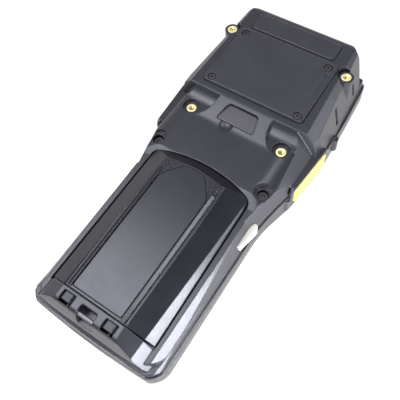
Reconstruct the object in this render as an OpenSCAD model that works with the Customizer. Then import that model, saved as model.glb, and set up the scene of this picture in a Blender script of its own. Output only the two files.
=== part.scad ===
// Rugged portable barcode data terminal, lying on its face with its back up.
// X runs across the case, Y from the tail to the head, Z out of the back.

/* [Case outline] */
// Length from the tail to the head
case_len = 222; // [218:1:228]
// Width across the head
head_w = 95.4; // [94:0.2:98]
// Width where the neck meets the head
neck_w = 91; // [90:0.5:92]
// Width at the narrow of the grip
grip_w = 79.4; // [78.5:0.1:80.5]
// Width at the tail
tail_w = 85; // [84:0.5:87]
// Width at the top end
top_w = 87; // [86:0.5:89]
// Radius of the tail corners
tail_corner = 11.5; // [9:0.5:13]
// Radius of the head corners
head_corner = 10.5; // [9:0.5:13]
// Rise of the bowed top end
top_bow = 5.4; // [4:0.1:6]
// Rise of the bowed tail end
tail_bow = 1.6; // [1:0.1:2]

/* [Front housing] */
// Height of the front housing along the grip
split_grip = 9.5; // [9:0.1:10.5]
// Height of the front housing beside the scan triggers
split_side = 13.6; // [13:0.1:14.2]
// Height of the front housing around the top end
split_top = 10.2; // [9.5:0.1:10.8]
// Wall of both housings
wall = 2.4; // [2:0.1:2.8]
// Thickness of the front panel
panel_t = 2.2; // [1.8:0.1:2.4]
// Depth of the face below the bumper lip
lip_h = 1.1; // [0.9:0.1:1.4]
// Width of the bumper lip
lip_w = 4; // [3:0.2:5]

/* [Rear housing] */
// Height of the back at the tail
tail_h = 31; // [30.4:0.1:31.6]
// Rise of the lid's plateau from the tail to the neck
lid_rise = 4.5; // [4:0.1:5]
// Rise of the lid's edges from the tail to the neck
edge_rise = 7.2; // [6.8:0.1:7.6]
// Height of the neck at its lower end
neck_h = 27.9; // [27.5:0.1:28.3]
// Slope of the neck in degrees
neck_slope = 4; // [3:0.1:4.6]
// Height of the head at its lower edge
head_h = 34.5; // [34:0.1:35]
// Slope of the head in degrees
head_slope = 5.8; // [5.4:0.1:6.2]
// Inset of the rear housing from the front housing
rear_inset = 0.9; // [0.6:0.1:1.2]
// Thickness of the seal between the housings
seal_t = 0.6; // [0.4:0.1:0.8]
// Radius of the finger valleys across the neck
valley_r = 13; // [12:0.5:14]

/* [Battery lid] */
// Half width of the lid at the tail
lid_half_tail = 33; // [32.4:0.1:33.4]
// Half width of the lid at the neck
lid_half_neck = 31.2; // [30.6:0.1:31.6]
// Length of the lid on its centre line
lid_len = 93.4; // [92.6:0.2:94]
// Gap around the lid
lid_gap = 0.4; // [0.35:0.05:0.5]
// Skin of the lid
lid_skin = 1.8; // [1.5:0.1:2]
// Half width of the inset pad
pad_half = 15.2; // [14.5:0.1:15.6]
// Thickness of the inset pad
pad_t = 0.8; // [0.6:0.1:1]
// How far the lid opens in degrees
lid_open = 55; // [40:5:60]

/* [Latches and strap] */
// Distance of each latch from the centre line
latch_x = 13.1; // [12.6:0.1:13.4]
// Width of a latch button
latch_w = 6.8; // [6.2:0.1:7.2]
// Length of a latch button
latch_l = 4.2; // [4:0.1:4.4]
// Travel of a latch
latch_travel = 1.2; // [1:0.1:1.3]
// Width of the strap slot
strap_w = 10; // [9.4:0.2:10.4]
// Radius of the strap bars
strap_bar_r = 1.1; // [0.9:0.1:1.2]

/* [Head] */
// Half width of the head cover
cover_half = 32.2; // [31.6:0.1:32.6]
// Length of the head cover
cover_len = 43; // [42:0.5:43.5]
// Thickness of the head cover
cover_t = 2; // [1.7:0.1:2.3]
// How far the head cover stands proud
cover_proud = 0.8; // [0.6:0.1:1]
// Half width of the end panel
end_half = 27; // [26:0.2:27.6]
// Radius of the small screws
screw_r = 1.2; // [1:0.05:1.3]

/* [Inserts] */
// Distance between the upper inserts
insert_up = 76; // [75.5:0.1:76.5]
// Distance between the lower inserts
insert_low = 59.6; // [59:0.1:60.2]
// Outside radius of an insert
insert_r = 2.9; // [2.7:0.05:3]
// Bore of an insert, for an M4 thread
insert_bore = 1.65; // [1.6:0.05:1.7]
// Length of an insert
insert_len = 6; // [5:0.5:7]
// Distance between the waist screws
waist_screws = 69.2; // [68.6:0.1:69.6]

/* [Keys] */
// Gap around every key
key_gap = 0.3; // [0.25:0.05:0.35]
// Travel of a keypad key
key_travel = 0.8; // [0.6:0.1:1]
// Width of a number key
key_w = 12.8; // [12.2:0.2:13]
// Length of a number key
key_l = 8.4; // [8:0.1:8.8]
// Spacing of the number keys across
key_dx = 17.2; // [17:0.1:17.4]
// Spacing of the number keys along
key_dy = 12.4; // [12:0.1:12.8]
// Length of a scan trigger
trigger_l = 31; // [29:0.5:32]
// Height of a scan trigger
trigger_h = 13.4; // [12:0.2:13.8]
// Travel of a scan trigger
trigger_travel = 0.6; // [0.4:0.1:0.7]
// Length of a side key
side_l = 16; // [15:0.5:17]
// Travel of a side key
side_travel = 0.9; // [0.6:0.1:1]

/* [Display] */
// Width of the touch window
window_w = 66; // [64:1:68]
// Length of the touch window
window_l = 84; // [82:1:86]
// Thickness of the touch window
window_t = 1.4; // [1.1:0.1:1.5]

/* [Hidden] */
$fn = 56;
eps = 0.01;
big = 400;

// Stations along the case
y_tail = -case_len / 2;
y_top = case_len / 2;
y_grip = y_tail + 91;
y_neck = y_grip + 33;
y_head = y_neck + 31;
y_upper = y_head + 32;
y_seam = y_tail + 14;
y_lid_top = y_seam + lid_len;
y_ramp_low = y_lid_top + 25;
y_ramp_top = y_ramp_low + 16.5;
y_cover = y_ramp_top + 3.8;
y_insert_low = y_lid_top + 29;
y_insert_up = y_insert_low + 57;
y_waist = y_lid_top + 2.4;
lid_slope = atan(lid_rise / lid_len);
shoulder_half = 28.8;
base = split_grip;

// Heights of the sloping neck and head planes at a place along the case
function neck_z(y) = neck_h + (y - y_lid_top) * tan(neck_slope);
function head_z(y) = head_h + (y - y_ramp_top) * tan(head_slope);
function tail_z(y) = tail_h + (y - y_seam) * tan(lid_slope);

// Points where a rounded corner starts and ends, and the centre of its arc
function unit(v) = v / norm(v);
function before(p, i) = p[(i + len(p) - 1) % len(p)];
function after(p, i) = p[(i + 1) % len(p)];
function back_way(p, i) = unit(before(p, i) - p[i]);
function next_way(p, i) = unit(after(p, i) - p[i]);
function half_turn(p, i) = acos(back_way(p, i) * next_way(p, i)) / 2;
function corner_ends(p, r, i) = r[i] == 0 ? [p[i]] : [
    p[i] + back_way(p, i) * r[i] / tan(half_turn(p, i)),
    p[i] + next_way(p, i) * r[i] / tan(half_turn(p, i))];
function corner_mid(p, r, i) = p[i]
    + unit(back_way(p, i) + next_way(p, i)) * r[i] / sin(half_turn(p, i));
function turns_left(p, i) = cross(p[i] - before(p, i), after(p, i) - p[i]) > 0;

// Polygon, counterclockwise, with a true arc of its own radius at each corner
module rounded(p, r) {
    difference() {
        union() {
            polygon([for (i = [0 : len(p) - 1]) each corner_ends(p, r, i)]);
            for (i = [0 : len(p) - 1])
                if (r[i] > 0 && turns_left(p, i))
                    translate(corner_mid(p, r, i)) circle(r[i]);
        }
        for (i = [0 : len(p) - 1])
            if (r[i] > 0 && !turns_left(p, i))
                translate(corner_mid(p, r, i)) circle(r[i]);
    }
}

// Rectangle w by l about the origin with round corners
module round_rect(w, l, r) {
    rounded([[-w / 2, -l / 2], [w / 2, -l / 2], [w / 2, l / 2], [-w / 2, l / 2]], [r, r, r, r]);
}

// Everything on the far side of the plane through three points, to be cut away
module beyond(a, b, c) {
    n = cross(b - a, c - a);
    translate(a) rotate([0, acos(n[2] / norm(n)), atan2(n[1], n[0])])
        translate([-big / 2, -big / 2, 0]) cube(big);
}

module both_sides() {
    children();
    mirror([1, 0, 0]) children();
}

// A slab between two places along the case
module between(y0, y1) {
    translate([-big / 2, y0, -big / 2]) cube([big, y1 - y0, big]);
}

// A profile in Y and Z carried across the case
module across(w) {
    translate([-w / 2, 0, 0]) rotate([90, 0, 90]) linear_extrude(w) children();
}

module rod(r, h) {
    cylinder(r = r, h = h);
}

// Plan of the case, set in by d
function plan_right(d) = [[tail_w / 2 - d, y_tail + d], [grip_w / 2 - 0.1 - d, y_grip + 8],
    [neck_w / 2 - d, y_neck], [head_w / 2 - d, y_head], [head_w / 2 - 1.4 - d, y_upper],
    [top_w / 2 - d, y_top - d]];
function mirrored(p) = concat(p, [for (i = [len(p) - 1 : -1 : 0]) [-p[i][0], p[i][1]]]);

module plan(d) {
    corner = [tail_corner - d / 2, 66, 22, 30, 30, head_corner - d / 2];
    top_r = pow(top_w / 2, 2) / (2 * top_bow);
    tail_r = pow(tail_w / 2, 2) / (2 * tail_bow);
    intersection() {
        rounded(mirrored(plan_right(d)), [for (i = [0 : 11]) corner[i < 6 ? i : 11 - i]]);
        translate([0, y_top - d - top_r]) circle(top_r, $fn = 256);
        translate([0, y_tail + d + tail_r]) circle(tail_r, $fn = 256);
    }
}

// Height of the split between the housings, as a profile in Y and Z
y_step = y_head + 15;
function split_line(up) = [[y_tail - 9, split_grip + up], [y_grip + 10, split_grip + up],
    [y_neck - 6, split_side + up], [y_step, split_side + up],
    [y_step + 3.4, split_top + up], [y_top + 9, split_top + up]];

module below_split(up) {
    across(big) polygon(concat([[y_top + 9, -9], [y_tail - 9, -9]], split_line(up)));
}

// Display opening, places of the keys on the front
window_y = y_top - 15 - window_l / 2;
pad_y = y_tail + 14.5;
nav_r = 10;
nav_y = pad_y + 4 * key_dy + 14;
soft_y = nav_y + 16;
key_z = 0.4;
key_top = lip_h + panel_t + 1;
key_seat = lip_h + panel_t;
key_nub = 0.9;
board_z = key_top + key_nub + key_travel + 0.1;
board_t = 1.2;

// Name, place across, place along, width, length
SIDE_KEYS_X = key_dx + 5.2;
KEYS = [
    ["key_sign", -key_dx, pad_y, key_w, key_l], ["key_0", 0, pad_y, key_w, key_l],
    ["key_point", key_dx, pad_y, key_w, key_l],
    ["key_7", -key_dx, pad_y + key_dy, key_w, key_l], ["key_8", 0, pad_y + key_dy, key_w, key_l],
    ["key_9", key_dx, pad_y + key_dy, key_w, key_l],
    ["key_4", -key_dx, pad_y + 2 * key_dy, key_w, key_l],
    ["key_5", 0, pad_y + 2 * key_dy, key_w, key_l],
    ["key_6", key_dx, pad_y + 2 * key_dy, key_w, key_l],
    ["key_1", -key_dx, pad_y + 3 * key_dy, key_w, key_l],
    ["key_2", 0, pad_y + 3 * key_dy, key_w, key_l],
    ["key_3", key_dx, pad_y + 3 * key_dy, key_w, key_l],
    ["escape_key", -SIDE_KEYS_X, nav_y - 6, 10, 8], ["enter_key", SIDE_KEYS_X, nav_y - 6, 10, 8],
    ["tab_key", -SIDE_KEYS_X, nav_y + 4.4, 10, 8],
    ["backspace_key", SIDE_KEYS_X, nav_y + 4.4, 10, 8],
    ["soft_key_left", -18, soft_y, 10, 6], ["soft_key_right", 18, soft_y, 10, 6],
    ["front_scan_key", 0, soft_y, 20, 6.6], ["power_key", -26, soft_y + 11, 6, 6]];
function key_of(name) = [for (k = KEYS) if (k[0] == name) k][0];

// Trigger and side key places
trigger_y = (y_neck + y_head) / 2;
trigger_z = 7.2;
trigger_mid = 11.3;
trigger_sunk = 0.2;
trigger_proud = 1;
trigger_block = 8.6;
guard_w = 2.8;
guard_proud = 0.7;
function side_x(y) = neck_w / 2 + (head_w - neck_w) / 2 * (y - y_neck) / (y_head - y_neck);
side_y = y_grip - 2.6;
side_z = split_grip + seal_t + 4;
side_h = 5.2;

// Boss under each waist screw, and the screws in the battery bay
bay_half = 28.6;
bay_low = y_seam + 4.4;
bay_high = y_lid_top - 14;
bay_floor = base + seal_t + 1.9;
bay_screw_x = bay_half - 1.4;
bay_screw_y = [bay_low + 5, bay_high - 3];

// ---------------------------------------------------------------- front

module front_housing() {
    color([0.13, 0.13, 0.14])
    difference() {
        union() {
            difference() {
                intersection() {
                    linear_extrude(split_side) plan(0);
                    below_split(0);
                }
                translate([0, 0, lip_h + panel_t]) linear_extrude(big / 8) plan(wall);
                translate([0, 0, -1]) linear_extrude(lip_h + 1) plan(lip_w);
                // shadow line between the bumper and the side wall
                translate([0, 0, 6]) difference() {
                    linear_extrude(0.7) plan(-1);
                    translate([0, 0, -1]) linear_extrude(3) plan(0.5);
                    between(y_grip + 4, y_step + 4);
                }
            }
            // blocks behind the scan triggers
            intersection() {
                both_sides() translate([side_x(trigger_y) - trigger_block,
                    trigger_y - 6, lip_h + 0.5])
                    cube([8, 12, split_side - lip_h - 1]);
                linear_extrude(split_side) plan(0.4);
            }
            // frames round the triggers, bumps above and below them
            intersection() {
                trigger_guard();
                linear_extrude(split_side) square(big, center = true);
            }
            both_sides() for (c = [[side_x(rail_y - 1.2) - 1.9, rail_y - 1.2],
                [head_w / 2 - 0.85, trigger_y + 30.3]])
                translate([c[0], c[1], lip_h + 2]) rod(2.4, split_side - lip_h - 3.4);
            // bosses for the screws, posts under the keypad board
            both_sides() {
                translate([waist_screws / 2, y_waist, lip_h + 0.5])
                    rod(waist_boss, waist_foot - lip_h - 0.5);
                for (y = bay_screw_y) translate([bay_screw_x, y, lip_h + 0.5])
                    rod(bay_boss, base + seal_t + 0.2 - lip_h - 0.5);
                for (y = [pad_y + 2 * key_dy, pad_y + 3 * key_dy + 10])
                    translate([29.4, y, lip_h + 0.5]) rod(1.8, board_z - lip_h - 0.5);
            }
        }
        // window opening, its seat from inside
        translate([0, window_y, -1]) linear_extrude(9) round_rect(window_w - 5, window_l - 5, 3);
        translate([0, window_y, lip_h + panel_t - window_t]) linear_extrude(9)
            round_rect(window_w + 0.4, window_l + 0.4, 4);
        // key openings
        for (k = KEYS) translate([k[1], k[2], 0]) linear_extrude(lip_h + panel_t + 1)
            round_rect(k[3] + 2 * key_gap, k[4] + 2 * key_gap, key_corner(k) + key_gap);
        translate([0, nav_y, 0]) rod(nav_r + key_gap, lip_h + panel_t + 1);
        both_sides() {
            // side walls lean in towards the tail
            intersection() {
                beyond([tail_w / 2, y_tail + 10, 4.4], [grip_w / 2 + 0.2, y_grip - 2, split_grip],
                    [tail_w / 2 - tail_lean, y_tail + 10, split_grip]);
                between(-big, y_grip - 2);
            }
            // scan trigger pockets and the bores for their stems
            trigger_shape(key_gap, trigger_travel + key_gap, 9);
            translate([20, trigger_y, trigger_z]) rotate([0, 90, 0]) rod(stem_r + 0.2, 27);
            translate([waist_screws / 2, y_waist, lip_h + 1.5]) rod(screw_r + 0.05, 20);
            for (y = bay_screw_y) translate([bay_screw_x, y, lip_h + 1.5])
                rod(screw_r + 0.05, 20);
        }
        // speaker slots and the dock opening
        for (i = [-2 : 2])
            translate([i * 4.4, y_top - 9, -1]) linear_extrude(9) round_rect(2.2, 4.6, 1);
        translate([0, y_tail, dock_z]) rotate([90, 0, 0]) linear_extrude(9, center = true)
            round_rect(dock_w + 0.4, dock_h + 0.4, 1.2);
    }
}

waist_boss = 3.6;
waist_foot = split_side - 0.4;
bay_boss = 2.2;
function key_corner(k) = k[0] == "front_scan_key" ? 3.2 : k[0] == "power_key" ? 2.8 : 2;
stem_r = 1.4;
dock_z = 6;
dock_w = 26;
dock_h = 4.4;

module keypad_key(name, tint) {
    k = key_of(name);
    r = key_corner(k);
    color(tint)
    translate([k[1], k[2], 0]) {
        translate([0, 0, key_z]) linear_extrude(0.6) round_rect(k[3] - 1, k[4] - 1, r - 0.5);
        translate([0, 0, key_z + 0.5]) linear_extrude(key_top - key_z - 0.5)
            round_rect(k[3], k[4], r);
        // flange behind the panel, nub over its switch
        translate([0, 0, key_seat]) linear_extrude(key_top - key_seat)
            round_rect(k[3] + 2, k[4] + 2, r + 1);
        translate([0, 0, key_top - eps]) rod(1.3, key_nub);
    }
}

module nav_pad() {
    color([0.2, 0.2, 0.21])
    translate([0, nav_y, 0]) difference() {
        union() {
            translate([0, 0, key_z]) rod(nav_r - 0.6, 0.8);
            translate([0, 0, key_z + 0.7]) rod(nav_r, key_top - key_z - 0.7);
            translate([0, 0, key_seat]) rod(nav_r + 1, key_top - key_seat);
            translate([0, 0, key_top - eps]) rod(1.3, key_nub);
        }
        // dished face
        translate([0, 0, key_z - 28.2]) sphere(29, $fn = 128);
    }
}

module housing_seal() {
    color([0.05, 0.05, 0.05])
    intersection() {
        difference() {
            linear_extrude(big / 8) plan(rear_inset + 0.5);
            translate([0, 0, -1]) linear_extrude(big / 8 + 2) plan(rear_inset + wall - 0.4);
        }
        difference() {
            below_split(seal_t);
            below_split(0);
        }
    }
}

module touch_window() {
    color([0.03, 0.03, 0.04])
    translate([0, window_y, lip_h + panel_t - window_t]) linear_extrude(window_t)
        round_rect(window_w, window_l, 3.8);
}

module display_module() {
    color([0.3, 0.32, 0.34])
    translate([0, window_y, lip_h + panel_t]) {
        linear_extrude(display_t) round_rect(window_w - 4, window_l - 8, 1);
        // backlight tail
        translate([-8, -window_l / 2 + 4 - 3, 2]) cube([16, 4, 0.6]);
    }
}

module keypad_board() {
    color([0.08, 0.3, 0.16])
    translate([0, 0, board_z]) linear_extrude(board_t) difference() {
        translate([0, (pad_y + soft_y + 9) / 2]) round_rect(64, soft_y - pad_y + 23, 2);
        both_sides() for (y = bay_screw_y) translate([bay_screw_x, y]) circle(bay_boss + 0.3);
        both_sides() translate([waist_screws / 2, y_waist]) circle(4);
    }
}

display_t = 3;
main_z = split_side + seal_t - 3.4;
module main_board() {
    color([0.06, 0.26, 0.14]) {
        translate([0, (y_neck + 6 + y_top - 9) / 2, main_z]) linear_extrude(board_t)
            round_rect(65, y_top - 9 - y_neck - 6, 3);
        // tab and connector down to the keypad board
        translate([-9, y_waist - 4, main_z]) cube([18, y_neck + 6 - y_waist + 4, board_t]);
        translate([-7, y_waist - 3, board_z + board_t])
            cube([14, 4, main_z - board_z - board_t + eps]);
        // processor shield, memory, standoffs down to the display
        translate([-22, y_head + 4, main_z + board_t - eps]) cube([24, 24, 2]);
        translate([8, y_head + 6, main_z + board_t - eps]) cube([16, 12, 1.2]);
        both_sides() for (y = [window_y - 30, window_y + 30])
            translate([24, y, lip_h + panel_t + display_t])
                rod(2, main_z - lip_h - panel_t - display_t + eps);
    }
}

// ---------------------------------------------------------------- rear

// Lines of the lid and tail: place half across at the tail, at the neck, and the heights
edge_drop = 13.4;
crease_drop = 6.6;
ridge_drop = 0.8;
function rise(y, total) = (y - y_seam) * total / lid_len;
function edge_z(y) = tail_h - edge_drop + rise(y, edge_rise);
function strip_z(y) = edge_z(y) + 0.6;
strip_tail = lid_half_tail + 2.5;
strip_neck = lid_half_neck + 4;
crease_tail = 28.6;
crease_neck = 25.4;
ridge_half = 20.2;
groove_half = 18.6;

// A solid in the plane of the sloping back: x across, y along, z out of the plateau
module on_back() {
    translate([0, y_seam, tail_h]) rotate([lid_slope, 0, 0]) translate([0, -y_seam, 0]) children();
}

// Cuts that leave the flanks of the lid and of the tail
module back_flank_cut() {
    e0 = [lid_half_tail, y_seam, edge_z(y_seam)];
    e1 = [lid_half_neck, y_lid_top, edge_z(y_lid_top)];
    c0 = [crease_tail, y_seam, tail_h - crease_drop];
    c1 = [crease_neck, y_lid_top, tail_h - crease_drop + lid_rise + 0.6];
    r0 = [ridge_half, y_seam, tail_h - ridge_drop];
    beyond(e0, e1, c0);
    beyond(c0, c1, r0);
}

// Cuts that leave the flanks of the grip, the neck and the head
module side_cuts() {
    b0 = [tail_w / 2 - rear_inset - tail_lean, y_seam - 8, split_grip + 1];
    b1 = [grip_w / 2 - rear_inset, y_grip, split_grip + 1];
    b2 = [neck_w / 2 - rear_inset, y_neck, split_side + 1];
    n2 = [rail_in, y_neck, rail_z];
    n3 = [rail_in, y_ramp_top - 1, rail_z];
    n4 = [38, y_ramp_low + 1.7, neck_z(y_ramp_low) - 2.8];
    b3 = [head_w / 2 - rear_inset, y_head, split_side + 1];
    b4 = [top_w / 2 - rear_inset, y_top - 6, split_top];
    s0 = [strip_tail, y_seam, strip_z(y_seam)];
    s1 = [strip_neck, y_grip, strip_z(y_grip)];
    c2 = [38.6, y_waist, 24.2];
    c3 = [crown_half, y_head, head_z(y_head)];
    crown_edge = [crown_half + 5.8, y_head, head_z(y_head) - crown_drop];
    crown_end = [crown_half + 2.5, y_top - 12, head_z(y_top - 12) - crown_drop];
    intersection() {
        union() {
            beyond(b0, b1, s1);
            beyond(b0, s1, s0);
        }
        between(-big, y_grip + eps);
    }
    intersection() {
        beyond(b1, b2, c2);
        between(y_grip, y_neck + eps);
    }
    // flank beside the valleys, above the skirt, and the step up to the head's flank
    intersection() {
        union() {
            beyond(n2, n3, n4);
            shoulder_cut();
        }
        union() {
            intersection() {
                between(y_grip + 6, rail_y);
                translate([0, -big / 2, skirt_z]) cube(big);
            }
            intersection() {
                between(rail_y - eps, y_ramp_top - 0.6);
                translate([0, -big / 2, rail_z]) cube(big);
            }
        }
    }
    intersection() {
        beyond(b2, b3, crown_edge);
        between(y_neck, y_head);
        translate([0, -big / 2, rail_z]) cube(big);
    }
    // corner of the head, rounded where its leaning flank meets the end
    for (c = [[0.8, 2.5, split_top + seal_t + 1.2, 5], [2.95, 1.9, 26, 27]])
        translate([top_w / 2 - c[0] - crown_r, y_top - crown_r - c[1], c[2]])
            rotate([c[3], -8.8, 0]) difference() {
                cube(60);
                translate([0, 0, -1]) cylinder(r = crown_r, h = 70, $fn = 48);
            }
    intersection() {
        union() {
            beyond(b3, b4, crown_edge);
            beyond(crown_edge, crown_end, c3);
        }
        between(y_ramp_top - 0.6, big);
    }
}
crown_half = 37.4;
crown_r = 12.5;
// Ledge along the neck, over the scan triggers
rail_z = 19.6;
rail_in = 43.4;
rail_y = trigger_y - trigger_l / 2 - guard_w;
crown_drop = 5.4;
tail_lean = 1.1;

// Shoulder rounded along the neck
shoulder_r = 17;
skirt_low = base + seal_t + 3;
module shoulder_cut() {
    translate([shoulder_half, y_lid_top, neck_z(y_lid_top)]) rotate([neck_slope, 0, 0])
        difference() {
            translate([0, -14, -shoulder_r]) cube([40, valley_y - y_lid_top + 13, 40]);
            translate([0, -15, -shoulder_r]) rotate([-90, 0, 0])
                cylinder(r = shoulder_r, h = 60, $fn = 72);
        }
}
skirt_z = split_side + seal_t + 1.2;

module rear_skin() {
    // head and neck
    difference() {
        intersection() {
            linear_extrude(big / 8) plan(rear_inset);
            across(big) rounded([[y_grip, 0], [y_top, 0], [y_top - rear_inset + 0.3, 26],
                [y_top - 8.4, head_z(y_top - 8.4)], [y_ramp_top, head_z(y_ramp_top)],
                [y_ramp_low, neck_z(y_ramp_low)], [y_lid_top - 2, neck_z(y_lid_top - 2)],
                [y_lid_top - 9, strip_z(y_lid_top - 9)], [y_grip, strip_z(y_grip)]],
                [0, 0, 9, 6, 12, 12, 2.6, 0, 0]);
        }
        both_sides() side_cuts();
    }
    // side walls of the grip, drawn in above a low skirt at the tail's corners
    difference() {
        intersection() {
            union() {
                linear_extrude(skirt_low) plan(rear_inset);
                linear_extrude(big / 8) intersection() {
                    plan(rear_inset);
                    translate([0, y_tail + case_len / 2 + rear_inset + 3])
                        round_rect(tail_w - 7, case_len, tail_corner + 1);
                }
            }
            across(big) polygon([[y_tail, 0], [y_grip + eps, 0],
                [y_grip + eps, strip_z(y_grip)], [y_tail + 3, strip_z(y_tail + 3)]]);
        }
        both_sides() side_cuts();
    }
    // tail
    difference() {
        intersection() {
            linear_extrude(big / 8) plan(rear_inset + 1.6);
            across(big) rounded([[y_tail + 2, 0], [y_seam - lid_gap, 0],
                [y_seam - lid_gap, tail_z(y_seam)], [y_tail + 5.6, tail_z(y_tail + 5.6)],
                [y_tail + 3.2, tail_h - 9]], [0, 0, 0, 2.6, 4]);
        }
        both_sides() back_flank_cut();
    }
    both_sides() translate([insert_up / 2, y_insert_up, 16]) rod(boss_r, insert_up_z - 16);
    trigger_guard();
}

boss_r = 4.4;
insert_up_z = head_z(y_insert_up) - 2.6;
insert_low_z = neck_z(y_insert_low) - 3;
valley_floor = neck_z(y_ramp_low) - 0.6;
valley_y = y_ramp_low + 7.4;

// Finger valleys each side of the raised middle of the neck
module valley_cut() {
    intersection() {
        linear_extrude(big / 8) rounded([[16.6, y_ramp_top + 3], [18.2, y_insert_low + 2.6],
            [22.6, y_ramp_low + 1.2], [60, y_ramp_low + 1.2], [60, y_ramp_top + 3]],
            [0, 12, 2, 0, 0]);
        union() {
            translate([0, valley_y, valley_floor + valley_reach]) rotate([0, 90, 0])
                rod(valley_reach, 60);
            translate([0, y_ramp_low - 3, valley_floor]) cube([60, valley_y - y_ramp_low + 3, 20]);
        }
    }
}
valley_reach = valley_r - 3.4;

// Tapered recesses down the flank of the head
module flank_groove(y, w, low, up, deep) {
    translate([head_w / 2 - rear_inset - (y - y_head) * 0.07, y, split_side + 1])
        rotate([0, -flank_lean, 0]) translate([-deep, -w / 2, low]) cube([20, w, up - low]);
}
flank_lean = 15.6;

// Plan of the lid, grown by d
lid_arc = 84;
module lid_plan(d) {
    intersection() {
        rounded([[-lid_half_tail - d, y_seam - d], [lid_half_tail + d, y_seam - d],
            [lid_half_neck + d, y_lid_top + 4], [-lid_half_neck - d, y_lid_top + 4]], [0, 0, 0, 0]);
        rounded([[-lid_half_tail - 4, y_seam - 9], [lid_half_tail + 4, y_seam - 9],
            [lid_half_neck + d, y_lid_top - 6 + d], [0, y_lid_top + 5 + d],
            [-lid_half_neck - d, y_lid_top - 6 + d]], [0, 0, 5, 0, 5]);
        translate([0, y_lid_top + d - lid_arc]) circle(lid_arc, $fn = 256);
    }
}

// The space over the lid's seat: seat_drop below the edges
seat_drop = 1.6;
module over_seat(up) {
    across(big) polygon([[y_seam - 9, edge_z(y_seam - 9) - seat_drop + up],
        [y_lid_top + 9, edge_z(y_lid_top + 9) - seat_drop + up], [y_lid_top + 9, 90], [y_seam - 9, 90]]);
}

module notch_plan(d) {
    rounded([[-12 - d, y_ramp_low + 3.4 - d], [12 + d, y_ramp_low + 3.4 - d],
        [9.6 + d, y_ramp_low + 14 + d], [-9.6 - d, y_ramp_low + 14 + d]], [1, 1, 2.6, 2.6]);
}

// The notch floor rises to the ramp at its lower edge
notch_deep = 3;
module notch_space(up, d) {
    intersection() {
        linear_extrude(big / 8) notch_plan(d);
        across(big) polygon([[y_ramp_low, neck_z(y_ramp_low) - 0.7 + up],
            [y_ramp_low + 15, head_z(y_ramp_low + 15) - notch_deep + up], [y_ramp_low + 15, 90],
            [y_ramp_low, 90]]);
    }
}

// Frame of the sloping head: z = 0 on its surface, y = 0 at the cover's lower edge
module on_head() {
    translate([0, y_cover, head_z(y_cover)]) rotate([head_slope, 0, 0]) children();
}
cover_sink = cover_t - cover_proud;
cover_screws = [[cover_half - 4.2, 3.4], [cover_half - 5, cover_len - 3.6]];
end_y = cover_len + 2.2;
end_l = 11.6;
end_t = 1.2;
end_proud = 0.5;

head_floor = split_side + seal_t;
module head_cavity() {
    difference() {
        head_cavity_box();
        both_sides() translate([insert_low / 2, y_insert_low, insert_low_z - insert_len - 1.6])
            rod(insert_r + 1.6, 30);
    }
}
module head_cavity_box() {
    intersection() {
        union() {
            translate([-33, y_neck + 5, 0]) cube([66, y_top - 8 - y_neck - 5, 60]);
            translate([-36, y_neck + 8, 0]) cube([72, y_top - 14 - y_neck - 8, 20]);
            translate([-39, y_head - 2, 0]) cube([78, y_top - 14 - y_head + 2, 20]);
        }
        across(big) polygon([[y_neck, 0], [y_top, 0], [y_top, 24], [y_top - 10, head_z(y_top - 10) - 5],
            [y_cover, head_z(y_cover) - 4.4], [y_ramp_low + 2, 24], [y_neck, 22]]);
    }
}

module rear_housing() {
    color([0.15, 0.15, 0.16])
    difference() {
        rear_skin();
        below_split(seal_t);
        // battery bay and the lid's seat
        intersection() {
            linear_extrude(big / 8) lid_plan(lid_gap);
            over_seat(0);
        }
        translate([-bay_half, bay_low, bay_floor]) cube([2 * bay_half, bay_high - bay_low, 40]);
        // room under the neck for the lid's hooks
        both_sides() translate([hook_x - hook_w / 2 - 0.8, y_lid_top - 8, pivot_z - 6.6])
            cube([hook_w + 1.6, 14, 6.6 - 1.6]);
        both_sides() translate([hook_x - hook_w / 2 - 0.8, y_lid_top - 8, pivot_z - 6.6])
            cube([hook_w + 1.6, 3.4, 12]);
        // wiring space under the bay and the head's cavity
        intersection() {
            linear_extrude(base + seal_t + 0.2) plan(5.2);
            between(y_tail, y_neck);
        }
        head_cavity();
        translate([-27, bay_high + 2.4, 0]) cube([54, y_neck + 6 - bay_high - 2.4, pivot_z - 9]);
        translate([-26, y_tail + 4.4, 0]) cube([52, y_seam - y_tail - 6.8, pocket_z - 2]);
        both_sides() {
            valley_cut();
            translate([insert_low / 2, y_insert_low, insert_low_z]) rod(4.8, 20);
            translate([insert_low / 2, y_insert_low, insert_low_z - insert_len])
                rod(insert_r + 0.02, insert_len + 1);
            upper_boss_room();
            translate([insert_up / 2, y_insert_up, insert_up_z - insert_len])
                rod(insert_r + 0.02, insert_len + 1);
            waist_bore();
            trigger_shape(key_gap, trigger_travel + key_gap, 9);
            flank_groove(y_head + 21.5, 2.6, 2, 15, 1.3);
            flank_groove(y_head + 46, 2.6, 2, 15, 1.3);
            side_key_room();
            latch_room();
        }
        notch_space(0, 0);
        translate([0, y_ramp_low + 0.6, neck_z(y_ramp_low) + 6.2]) rotate([0, 90, 0])
            translate([0, 0, -4.4]) sphere(7.2);
        strap_room();
        cover_room();
        end_room();
        scan_room();
        both_sides() for (y = bay_screw_y)
            translate([bay_screw_x, y, 0]) {
                rod(screw_r + 0.2, 20);
                translate([0, 0, bay_floor - 0.9]) rod(2.4, 7);
            }
    }
}

module upper_boss_room() {
    difference() {
        translate([insert_up / 2, y_insert_up, insert_up_z - 1.6]) rod(boss_r + 0.9, 20);
        translate([insert_up / 2, y_insert_up, 0]) rod(boss_r, insert_up_z);
    }
}

module waist_bore() {
    translate([waist_screws / 2, y_waist, 0]) {
        rod(waist_boss + 0.3, waist_foot);
        rod(screw_r + 0.2, 40);
        translate([0, 0, waist_seat]) rod(3.1, 40);
        translate([0, 0, waist_rim]) rod(5.2, 40);
    }
}
waist_rim = 24.4;
waist_seat = 20.4;

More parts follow.
